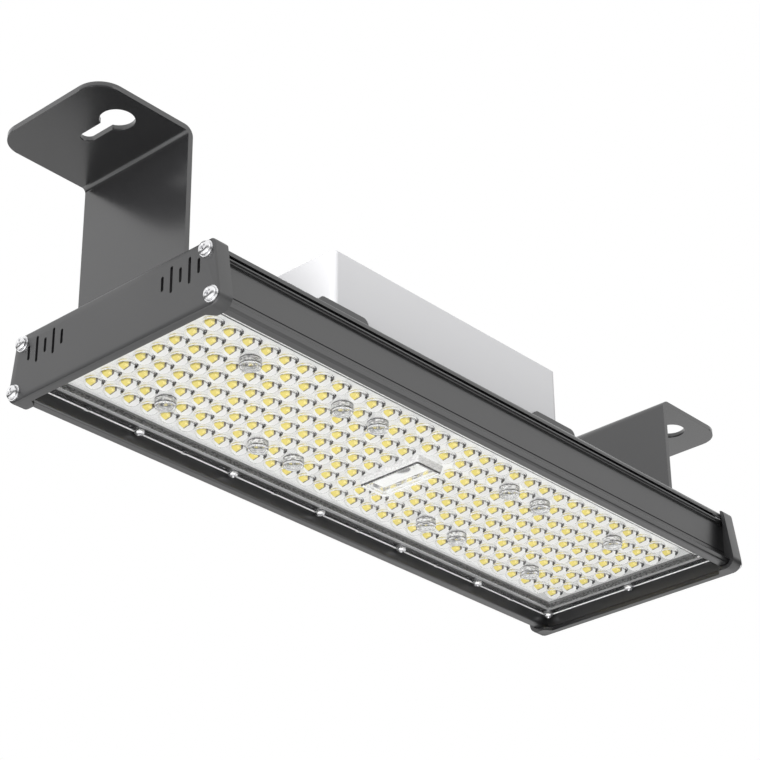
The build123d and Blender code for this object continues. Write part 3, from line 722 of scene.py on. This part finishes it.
class HIGHBAY_OT_lens_panel(bpy.types.Operator):
    """Clear panel with its lenses, domes, window, ridge and screw tabs"""

    bl_idname = "highbay.lens_panel"
    bl_label = "Lens panel"

    # Places of the finishes in the panel's list of materials
    PALE, DIM, MIST = 1, 2, 3

    def frost(self, mesh, lenses, cups, screws, size):
        """Gives the textured bands their own finish: lens rims, cup walls, window sides, the ridge's inner
        wall, screw tabs and the panel's edge; and gives the lenses their grey arcs of painted reflection."""
        places = [spot.translation for spot in lenses + cups]
        places += [at(0, 0, FIELD_UNDER) @ spot.translation for spot in screws]
        near = KDTree(len(places))
        for i, place in enumerate(places):
            near.insert(place, i)
        near.balance()
        for face in mesh.polygons:
            here, way = face.center, face.normal
            drop = FIELD_UNDER - here.z
            inward = min(PANEL_X - abs(here.x), PANEL_Y - abs(here.y))
            if inward < 1.3 * MM and drop > 2.4 * MM:
                face.material_index = self.MIST
            flat = abs(way.z) > 0.97
            if drop < 0.0 or flat:
                continue
            place, i, _ = near.find(here)
            out = here - place
            radius = math.hypot(out.x, out.y)
            by_screw = i >= len(lenses) + len(cups)
            across, along = here.x - WINDOW_MID, here.y
            if (abs(across) < WINDOW_HALF_X + MM and abs(along) < WINDOW_HALF_Y + MM
                    and drop < WINDOW_HEIGHT + 0.1 * MM):
                if across * way.x + along * way.y > 0 and (way.x < -0.3 or way.y < -0.3):
                    face.material_index = self.MIST if drop < WINDOW_HEIGHT - 0.9 * MM else self.DIM
            elif by_screw or inward < RIDGE_IN + 0.8 * MM:
                if radius < 3.3 * MM and by_screw:
                    face.material_index = self.DIM if abs(way.z) < 0.5 else 0
                elif abs(inward - RIDGE_IN) < 0.4 * MM and abs(way.z) < 0.8:
                    face.material_index = self.DIM
            elif i >= len(lenses):
                if abs(radius - size.dome_radius) < 0.3 * MM and drop < CUP_BANDS[0]:
                    face.material_index = self.PALE if CUP_BANDS[2] < drop < CUP_BANDS[1] else self.DIM
            elif radius < size.lens_radius + 0.1 * MM:
                # Grey arcs on one side of each lens: painted reflection along its outline
                turn = math.degrees(math.atan2(out.y, out.x))
                on_reflection_arc = any(
                    low < radius < high and first < turn < last for low, high, first, last in LENS_REFLECTION_ARCS
                )
                if drop < RIM or on_reflection_arc:
                    face.material_index = self.PALE

    def execute(self, context):
        size = sizes()
        wall = size.wall
        root, inside = BOARD_UNDER - FIELD_UNDER + 0.01 * MM, 1.0 * MM
        lens = lathed(dome_profile(size.lens_radius, size.lens_height, root), 28)
        cup = lathed(cup_profile(size.dome_radius, size.dome_height, inside, CUP_BANDS), 40)
        hollow = lathed(cup_profile(size.dome_radius - wall, size.dome_height - wall, 4 * MM), 32)
        leds = [at(spot.x - CHIP_SHIFT, spot.y, FIELD_UNDER) for spot in middles("led_chips")]
        cups = [at(spot.x, spot.y, FIELD_UNDER) for spot in middles("board_screws")]
        screws = [at(spot.x, spot.y, 0) for spot in middles("lens_screws")]
        tab = lathed([
            (0, RIDGE_UNDER), (2.9 * MM, RIDGE_UNDER), (3.1 * MM, 9.8 * MM), (3.1 * MM, FIELD_UNDER),
            (0, FIELD_UNDER),
        ], 28)
        post = rod(2.4 * MM, FIELD_UNDER, 16.95 * MM, 24)
        hole = rod(LENS_SCREW_HOLE, 5 * MM, 20 * MM, 20)
        bump = lathed([
            (0, 9.7 * MM), (1.7 * MM, 9.7 * MM), (1.9 * MM, 9.9 * MM), (1.9 * MM, 11.9 * MM), (0, 11.9 * MM)
        ], 20)
        end_posts = [
            moved(post, spot) for spot in screws
            if abs(spot.translation.x) > PANEL_X - 5 * MM and abs(spot.translation.y) < 5 * MM
        ]
        bumps = [
            moved(bump, at(share * LENS_SCREW_STEP, side * (PANEL_Y - 1.0 * MM), 0))
            for side in ENDS for share in (-2.5, -1.5, -0.5, 0.5, 1.5, 2.5)
        ]
        window = window_form(0.0, -WINDOW_HEIGHT, inside)
        window_hollow = window_form(-wall, -WINDOW_HEIGHT + wall, 4 * MM)
        added = [
            joined([moved(lens, spot) for spot in leds] + [moved(tab, spot) for spot in screws]),
            joined([moved(cup, spot) for spot in cups] + bumps + [window]),
            joined(end_posts),
        ]
        cut = [
            joined([moved(hollow, spot) for spot in cups] + [window_hollow]),
            joined([moved(hole, spot) for spot in screws]),
        ]
        columns = [LENS_MID + (i - 15) * PITCH for i in range(31)]
        rows = [(i - 4) * ROW_PITCH for i in range(9)]
        plate = gridded(panel_plate(), columns, rows)
        mesh = carved("clear_lens_panel", plate, added, cut)
        finishes = [
            clear_plastic("clear_polycarbonate", colours().lens),
            # Pale frost on lens rims and cup bands; on the lens arcs the same grey is painted reflection
            streaked_grey("pale_frost_and_painted_reflection", 0.3, 0.8),
            streaked_grey("frosted_dim", 0.02, 0.13),
            streaked_grey("frosted_mist", 0.55, 0.72),
        ]
        piece("clear_lens_panel", mesh, finishes, ["lens_panel"], angle=28)
        self.frost(mesh, leds, cups, screws, size)
        return {"FINISHED"}


class HIGHBAY_OT_leds(bpy.types.Operator):
    """LEDs under the lenses: yellow phosphor; a grey-brown strip of painted shade on one side of it; a black
    block beside it that paints the dark reflection at the lens's tip; thin steps in the lens round it, grey
    on one side as painted shade"""

    bl_idname = "highbay.leds"
    bl_label = "LEDs"

    def execute(self, context):
        half, chamfer = 1.68 * MM, 0.12 * MM
        corner = rectangle(half, half)
        body = rounded(corner, [0.25 * MM, 1.1 * MM, 0.25 * MM, 0.8 * MM], arc=4)
        face = rounded(inset(corner, chamfer), [0.2 * MM, 1.05 * MM, 0.2 * MM, 0.75 * MM], arc=4)
        rings = [(body, BOARD_UNDER), (body, LED_FACE + chamfer), (face, LED_FACE)]
        phosphor_block = stacked([[(u, v, z) for u, v in ring] for ring, z in rings])
        # A grey-brown strip on one side of each LED: painted shade along its shadow side
        painted_shade_strip = block((half, -half, LED_FACE + 0.05 * MM), (half + 0.35 * MM, half, BOARD_UNDER))
        step_low, step_high, step_wide = 12.6 * MM, 12.9 * MM, 0.22 * MM
        # A black block beside each lens, put there to paint the dark reflection at the lens's tip
        dark_reflection_block = block((2.2 * MM, -3.6 * MM, step_low), (4.4 * MM, -1.5 * MM, BOARD_UNDER))
        # Thin steps round each lens, coloured grey and drawn only over the side where the lens shows dark
        # refracted arcs: painted shade
        arcs = []
        for reach, first, last in ((3.3 * MM, -100, 50), (4.2 * MM, -60, 40)):
            turns = steps(12, math.radians(first), math.radians(last), closed=False)
            strip = arc_points(reach, turns) + arc_points(reach + step_wide, turns[::-1])
            arcs.append(prism(strip, step_low, step_high))
        yellow = phosphor("led_phosphor", colours().phosphor)
        dull = moulded("lens_step_painted_shade", (0.25, 0.25, 0.25), 0.5)
        grey = moulded("led_painted_shade_brown", (0.16, 0.14, 0.11), 0.4)
        black = moulded("painted_dark_reflection_black", (0.006, 0.006, 0.006), 0.4)
        leds = [at(spot.x, spot.y, 0) for spot in middles("led_chips")]
        lenses = [at(-CHIP_SHIFT, 0, 0) @ spot for spot in leds]
        for name, form, spots, finish, slot, replaced in (
            ("led_phosphor_blocks", phosphor_block, leds, yellow, "chip", ["led_chips"]),
            ("lens_steps_painted_grey", joined(arcs), lenses, dull, "lens", ()),
            ("led_painted_shade_strips", painted_shade_strip, leds, grey, "chip", ()),
            ("led_dark_reflection_blocks", dark_reflection_block, lenses, black, "chip", ()),
        ):
            forms = joined([moved(form, spot) for spot in spots])
            piece(name, mesh_of(name, forms), [finish], replaced)
        return {"FINISHED"}


# Screws and washers

def pan_head_screw(radius, height, shank, reach):
    """A pan head screw along Z, head up, its seat at 0: cross recess and a ridged shank."""
    profile = [(0.0, -reach), (0.6 * shank, -reach)]
    pitch = max(0.5 * MM, shank * 0.35)
    level = -reach + 0.5 * shank
    while level < -0.8 * MM:
        profile += [(0.82 * shank, level), (shank, level + pitch / 2)]
        level += pitch
    profile += [(0.9 * shank, -0.3 * MM), (0.9 * shank, 0.0), (0.94 * radius, 0.0), (radius, 0.07 * height)]
    profile += [(radius, 0.3 * height)]
    for angle in steps(7, 0.15, math.pi / 2, closed=False):
        profile.append((radius * (0.45 + 0.55 * math.cos(angle)), height * (0.3 + 0.7 * math.sin(angle))))
    profile.append((0.0, height))
    form = lathed(profile, 32)
    arm, thick = 0.52 * radius, 0.15 * radius
    deep, top = 0.35 * height, 1.2 * height
    plus = [(arm, -thick), (arm, thick), (thick, thick), (thick, arm), (-thick, arm), (-thick, thick),
            (-arm, thick), (-arm, -thick), (-thick, -thick), (-thick, -arm), (thick, -arm), (thick, -thick)]
    rings = [[(x * share, y * share, z) for x, y in plus]
             for share, z in ((0.55, deep), (1.0, height), (1.15, top))]
    return carved("pan_head", form, cut=[stacked(rings)])


def outward(spot, axis):
    """Which way a screw's head points: out of the light along that axis."""
    direction, i = [0.0, 0.0, 0.0], "XYZ".index(axis[-1])
    direction[i] = math.copysign(1.0, spot[i]) if axis[0] == "?" else float(axis[0] + "1")
    return Vector(direction)


# Node, axis of its heads (? where it is the side that the screw is on), then in mm the head's radius and
# height and the shank's radius
SCREWS = (
    ("end_cap_screws_upper", "?X", 3.6, 2.2, 1.8),
    ("end_cap_screws_lower", "?X", 3.6, 2.2, 1.8),
    ("lens_screws", "-Z", 2.8, 2.0, 1.5),
    ("board_screws", "-Z", 3.8, 2.0, 2.0),
    ("bracket_screws", "+Z", 4.6, 3.0, 2.5),
    ("saddle_screws", "+Z", 4.6, 3.0, 2.5),
    ("cover_screws", "+Z", 2.9, 1.8, 1.5),
    ("box_side_screws", "?Y", 3.8, 2.0, 2.0),
    ("driver_screws", "+Z", 2.9, 1.8, 1.5),
)


class HIGHBAY_OT_screws(bpy.types.Operator):
    """Pan head screws with cross recesses in place of the plain ones"""

    bl_idname = "highbay.screws"
    bl_label = "Screws"

    # How far the first recess is turned, and each one from the one before, in radians
    FIRST_TURN, NEXT_TURN = 0.3, 0.7

    def execute(self, context):
        zinc = bright_zinc("bright_zinc", colours().zinc)
        for node, axis, radius, height, shank in SCREWS:
            boxes = islands(node)
            forms, made = [], {}
            for i, (low, high) in enumerate(boxes):
                middle = (low + high) / 2
                way = outward(middle, axis)
                span = abs((high - low).dot(way))
                head = middle + way * (span / 2)
                reach = round(span - height * MM, 6)
                if reach not in made:
                    made[reach] = form_of(pan_head_screw(radius * MM, height * MM, shank * MM, reach))
                turn = Matrix.Rotation(self.FIRST_TURN + self.NEXT_TURN * i, 4, "Z")
                seat = head - way * height * MM
                forms.append(moved(made[reach], at(*seat) @ facing(way) @ turn))
            piece(node + "_pan", mesh_of(node + "_pan", joined(forms)), [zinc], [node], angle=32)
        return {"FINISHED"}


class HIGHBAY_OT_washers(bpy.types.Operator):
    """Round washers under the end cap screws"""

    bl_idname = "highbay.washers"
    bl_label = "Washers"

    def execute(self, context):
        thick = 0.8 * MM
        section = [(0.0, 0.0), (1.0, 0.0), (1.0, 0.6 * MM), (0.93, thick), (0.05, thick), (0.0, 0.7 * MM)]
        ring = washer_form(1.95 * MM, 4.3 * MM, section, 40)
        forms = []
        for low, high in islands("end_cap_washers"):
            middle = (low + high) / 2
            way = outward(middle, "?X")
            forms.append(moved(ring, at(*(middle - way * thick / 2)) @ facing(way)))
        zinc, name = bpy.data.materials["bright_zinc"], "end_cap_washers_round"
        piece(name, mesh_of(name, joined(forms)), [zinc], ["end_cap_washers"])
        return {"FINISHED"}


# End caps

def cap_form(levels):
    """A solid with the end cap's outline, from pairs in mm: how far behind its face, and how far inset."""
    foot, top = CAP_FOOT_HALF, CAP_TOP_HALF
    corners = [(-foot, 0.0), (foot, 0.0), (top, CAP_TOP), (-top, CAP_TOP)]
    rings = []
    for back, inward in levels:
        radii = [max(CAP_CORNERS[i > 1] - inward * MM, 0.3 * MM) for i in range(4)]
        outline = rounded(inset(corners, inward * MM) if inward else corners, radii, arc=7)
        rings.append([(CAP_FACE - back * MM, y, z) for y, z in outline])
    return stacked(rings)


def vent(y, z, width, height):
    """A cutter for one round-ended vent slot, right through the cap's front along X."""
    outline = []
    for end, first in ((1, 0.0), (-1, math.pi)):
        turns = steps(9, first, first + math.pi, closed=False)
        outline += [(y + u, z + end * (height - width) / 2 + v) for u, v in arc_points(width / 2, turns)]
    return stacked([[(x, u, v) for u, v in outline] for x in (CAP_FACE - 6 * MM, CAP_FACE + 1 * MM)])


class HIGHBAY_OT_end_caps(bpy.types.Operator):
    """End caps with a bevelled face, round-ended vents and cut-back rims"""

    bl_idname = "highbay.end_caps"
    bl_label = "End caps"

    def execute(self, context):
        size = sizes()
        shell = cap_form([(8.8, 0.0), (1.0, 0.0), (0.5, 0.14), (0.16, 0.48), (0.0, 0.95)])
        room = cap_form([(12.0, 2.3), (2.5, 2.3)])
        back, front, half = CAP_FACE - 14 * MM, CAP_FACE - 4.5 * MM, 67.9 * MM
        top = block((back, -half, CAP_TOP - 6 * MM), (front, half, CAP_TOP + 4 * MM))
        plan = [(-9.8, -65), (-4.5, -61), (-4.5, 61), (-9.8, 65)]
        foot = prism([(CAP_FACE + x * MM, y * MM) for x, y in plan], -1 * MM, 5 * MM)
        vents = [
            vent(side * y * MM, VENT_Z, size.vent_width, LONG_VENT if i % 2 else SHORT_VENT)
            for side in ENDS for i, y in enumerate(VENT_YS)
        ]
        bore = rod(1.9 * MM, -8 * MM, 2 * MM, 20)
        holes = [moved(bore, at(CAP_FACE, y * MM, z * MM) @ facing((1, 0, 0))) for y, z in CAP_BORES]
        coat = powder_coat("cap_powder_coat", colours().cap, 0.36)
        mesh = carved("end_cap_vented", shell, cut=[room, top, foot, joined(vents + holes)])
        for side, flip in (("right", 1), ("left", -1)):
            name, node = "end_cap_vented_" + side, "end_cap_" + side
            form = moved(form_of(mesh), Matrix.Diagonal((flip, 1, 1, 1)))
            piece(name, mesh_of(name, form), [coat], [node], angle=32, bevel=0.15 * MM)
        return {"FINISHED"}


class HIGHBAY_OT_gland(bpy.types.Operator):
    """Cable gland with a ribbed dome nut, its hexagon and the rubber ring inside it"""

    bl_idname = "highbay.gland"
    bl_label = "Supply gland"

    def execute(self, context):
        low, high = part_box("supply_gland")
        turn = at(BOX_END, (low.y + high.y) / 2, (low.z + high.z) / 2) @ facing((1, 0, 0))
        ribs = 24
        rings = []
        for level, radius, rib in ((4.9, 9.0, 0.0), (5.3, 9.3, 0.0), (5.6, 9.35, 0.35), (12.5, 9.2, 0.35),
                                   (13.4, 9.0, 0.0), (15.0, 7.6, 0.0), (16.0, 6.2, 0.0)):
            ring = []
            for i, angle in enumerate(steps(ribs * 4)):
                reach = (radius - (rib if i % 4 in (0, 1) else 0.0)) * MM
                ring.append((reach * math.cos(angle), reach * math.sin(angle), level * MM))
            rings.append(ring)
        dome = stacked(rings)
        hexagon = arc_points(11 * MM, steps(6, math.pi / 6, math.pi * 13 / 6))
        nut = stacked([
            [(x * share, y * share, z * MM) for x, y in hexagon]
            for z, share in ((0, 0.97), (0.3, 1), (4.6, 1), (5, 0.96))
        ])
        thread = rod(7.8 * MM, -8.2 * MM, 1 * MM, 40)
        bore = lathed([
            (0, -12 * MM), (4.6 * MM, -12 * MM), (4.6 * MM, 14.5 * MM), (5.4 * MM, 17 * MM), (0, 17 * MM)
        ], 32)
        mesh = carved("gland", nut, added=[dome, thread], cut=[bore])
        form = moved(form_of(mesh), turn)
        nylon = moulded("gland_nylon", colours().nylon, 0.38)
        rubber = moulded("rubber_black", colours().rubber, 0.55, 0.3 * MM)
        piece("supply_gland_ribbed", mesh_of("supply_gland_ribbed", form), [nylon], ["supply_gland"])
        section = [(0.0, 6.0 * MM), (1.0, 6.0 * MM), (1.0, 15.2 * MM), (0.6, 15.6 * MM), (0.0, 15.2 * MM)]
        seal = moved(washer_form(4.0 * MM, 4.62 * MM, section, 32), turn)
        piece("gland_seal_ring", mesh_of("gland_seal_ring", seal), [rubber])
        return {"FINISHED"}


class HIGHBAY_OT_wiring(bpy.types.Operator):
    """Terminal block and round grommet behind the centre window"""

    bl_idname = "highbay.wiring"
    bl_label = "Terminal and grommet"

    def execute(self, context):
        low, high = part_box("board_terminal")
        body = block(low, high)
        slots, wells = [], []
        for side in ENDS:
            y = (low.y + high.y) / 2 + side * 2.2 * MM
            near = (low.x + 1.2 * MM, y - 0.6 * MM, low.z - 1 * MM)
            slots.append(block(near, (low.x + 3.4 * MM, y + 0.6 * MM, low.z + 1.2 * MM)))
            way_in = at(high.x - 0.5 * MM, y, (low.z + high.z) / 2) @ facing((1, 0, 0))
            wells.append(moved(rod(0.95 * MM, -1 * MM, 2 * MM, 20), way_in))
        mesh = carved("terminal_block", body, cut=[joined(slots), joined(wells)])
        white = moulded("terminal_white", (0.78, 0.78, 0.75), 0.4)
        piece("terminal_block", mesh, [white], ["board_terminal"], bevel=0.2 * MM)
        low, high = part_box("board_grommet")
        profile = [(0, 0), (1.0, 0), (1.0, 0.25), (0.93, 0.75), (0.75, 1.0), (0.65, 1.0), (0.65, 4.0),
                   (1.0, 4.0), (1.0, 4.7), (0.92, 5.0), (0, 5.0)]
        section = [(share, z * MM) for share, z in profile]
        ring = moved(washer_form(2.25 * MM, 5.5 * MM, section, 32), at(WINDOW_MID, 0, low.z))
        rubber, name = bpy.data.materials["rubber_black"], "board_grommet_round"
        piece(name, mesh_of(name, ring), [rubber], ["board_grommet"])
        return {"FINISHED"}


class HIGHBAY_OT_coats(bpy.types.Operator):
    """Finishes of the pieces that the frame gives"""

    bl_idname = "highbay.coats"
    bl_label = "Coats"

    def execute(self, context):
        colour, edge = colours(), sizes().edge
        rubber, cap = bpy.data.materials["rubber_black"], bpy.data.materials["cap_powder_coat"]
        bare = mill_aluminium("mill_aluminium", colour.aluminium)
        pale = pale_coat("box_pale_coat", colour.box)
        bracket = powder_coat("bracket_powder_coat", colour.bracket, 0.21)
        saddle = powder_coat("saddle_powder_coat", colour.saddle, 0.36)
        finishes = {
            "housing": (powder_coat("housing_powder_coat", colour.housing, 0.3), 0.15 * MM),
            "hanging_bracket_left": (bracket, edge),
            "hanging_bracket_right": (bracket, edge),
            "saddle_left": (saddle, edge),
            "saddle_right": (saddle, edge),
            "box_tray": (pale, 0.0),
            "box_cover": (pale, 0.0),
            "led_board": (solder_mask("white_solder_mask", colour.board), 0.0),
            "lens_seal": (moulded("silicone_seal", colour.silicone, 0.5, 0.6 * MM), 0.4 * MM),
            "end_plate_left": (cap, 0.0),
            "end_plate_right": (cap, 0.0),
            "led_driver": (bare, 0.3 * MM),
            "box_grommet": (rubber, 0.0),
            "lead_sleeve": (rubber, 0.0),
            "gland_nut": (bpy.data.materials["gland_nylon"], 0.2 * MM),
        }
        for node, (finish, width) in finishes.items():
            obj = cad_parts[node]
            obj.data.materials.clear()
            obj.data.materials.append(finish)
            if width:
                soft_edges(obj, width, weld=True)
        return {"FINISHED"}


# Studio

def soft_lamp(name, place, target, width, power):
    """A square soft lamp that points at the target."""
    data = bpy.data.lights.new(name, "AREA")
    data.shape = "SQUARE"
    data.size = width
    data.energy = power
    lamp = bpy.data.objects.new(name, data)
    lamp.location = place
    lamp.rotation_euler = (Vector(target) - Vector(place)).to_track_quat("-Z", "Y").to_euler()
    bpy.context.collection.objects.link(lamp)
    return lamp


class HIGHBAY_OT_studio(bpy.types.Operator):
    """Pale floor, soft light and the camera at the photograph's angle"""

    bl_idname = "highbay.studio"
    bl_label = "Studio"

    def execute(self, context):
        level, half = -1.6, 2.4
        mesh = bpy.data.meshes.new("studio_floor")
        mesh.from_pydata([(x, y, level) for x, y in rectangle(half, half)], [], [(0, 1, 2, 3)])
        floor = bpy.data.objects.new("studio_floor", mesh)
        bpy.context.collection.objects.link(floor)
        made, shader = material("pale_floor")
        shader.surface({"Base Color": (0.82, 0.82, 0.82), "Roughness": 0.7 + 0.1 * shader.noise(3.0)})
        mesh.materials.append(made)

        world = bpy.data.worlds.new("studio_world")
        bpy.context.scene.world = world
        world.use_nodes = True
        shader = Shader(world.node_tree)
        seen, gloss = shader.ray("Is Camera Ray"), shader.ray("Is Glossy Ray")
        through = shader.ray("Is Transmission Ray")
        light, white, bright, dark = (
            shader.node("ShaderNodeBackground", {}, {"Color": (1, 1, 1), "Strength": strength})
            for strength in (0.62, 1.0, 1.2, 0.06)
        )
        shone = shader.node("ShaderNodeMixShader", {}, {0: gloss, 1: light, 2: bright})
        sky = shader.node("ShaderNodeMixShader", {}, {0: seen.highest(through), 1: shone, 2: white})
        way = shader.node("ShaderNodeTexCoord", output="Generated")
        rise = shader.node("ShaderNodeSeparateXYZ", {}, {"Vector": way}, output="Z")
        band = shader.ramp(0.5 * rise + 0.5, [(0.38, 0.0), (0.44, 1.0), (0.62, 1.0), (0.68, 0.0)])
        edge = band * gloss.highest(through) * (1.0 - seen)
        shade = shader.node("ShaderNodeMixShader", {}, {0: edge, 1: sky, 2: dark})
        shader.node_out(shade, "ShaderNodeOutputWorld")

        middle = (0, 0, 0.04)
        soft_lamp("end_lamp", (-2.6, -0.5, 0.3), middle, 1.8, 170).visible_glossy = False
        soft_lamp("side_lamp", (0.6, -2.6, 0.6), middle, 1.8, 10)
        soft_lamp("under_lamp", (-0.4, -0.6, -1.5), middle, 1.6, 13)

        data = bpy.data.cameras.new("camera")
        data.lens = 107.9407
        data.sensor_width = 36.0
        camera = bpy.data.objects.new("camera", data)
        right = Vector((0.67344812, -0.73917411, -0.00944824))
        up = -Vector((0.3471619, 0.32752526, -0.87875242))
        back = -Vector((0.65264558, 0.58851409, 0.47718436))
        turn = Matrix((right, up, back)).transposed().to_4x4()
        camera.matrix_world = at(-0.817407, -0.721635, -0.522631) @ turn
        bpy.context.collection.objects.link(camera)
        bpy.context.scene.camera = camera
        bpy.context.scene.view_settings.view_transform = "Standard"
        return {"FINISHED"}


PIECES = (
    HIGHBAY_OT_lens_panel,
    HIGHBAY_OT_leds,
    HIGHBAY_OT_screws,
    HIGHBAY_OT_washers,
    HIGHBAY_OT_end_caps,
    HIGHBAY_OT_gland,
    HIGHBAY_OT_wiring,
    HIGHBAY_OT_coats,
    HIGHBAY_OT_studio,
)


class HIGHBAY_PT_panel(bpy.types.Panel):
    """The pieces, sizes and colours in the 3D view's sidebar"""

    bl_idname = "HIGHBAY_PT_panel"
    bl_label = "High bay light"
    bl_space_type = "VIEW_3D"
    bl_region_type = "UI"
    bl_category = "High bay"

    def draw(self, context):
        for made in PIECES:
            self.layout.operator(made.bl_idname)
        for group in (context.scene.highbay_sizes, context.scene.highbay_colours):
            for name in group.__annotations__:
                self.layout.prop(group, name)


CLASSES = (HIGHBAY_PG_sizes, HIGHBAY_PG_colours, *PIECES, HIGHBAY_PT_panel)


def register():
    """Registers the classes and the two groups of settings."""
    for made in CLASSES:
        bpy.utils.register_class(made)
    bpy.types.Scene.highbay_sizes = bpy.props.PointerProperty(type=HIGHBAY_PG_sizes)
    bpy.types.Scene.highbay_colours = bpy.props.PointerProperty(type=HIGHBAY_PG_colours)


def unregister():
    """Takes them away again."""
    del bpy.types.Scene.highbay_colours
    del bpy.types.Scene.highbay_sizes
    for made in reversed(CLASSES):
        bpy.utils.unregister_class(made)


def main():
    """Makes every piece in order."""
    register()
    for made in PIECES:
        group, name = made.bl_idname.split(".")
        getattr(getattr(bpy.ops, group), name)()


if __name__ == "__main__":
    main()
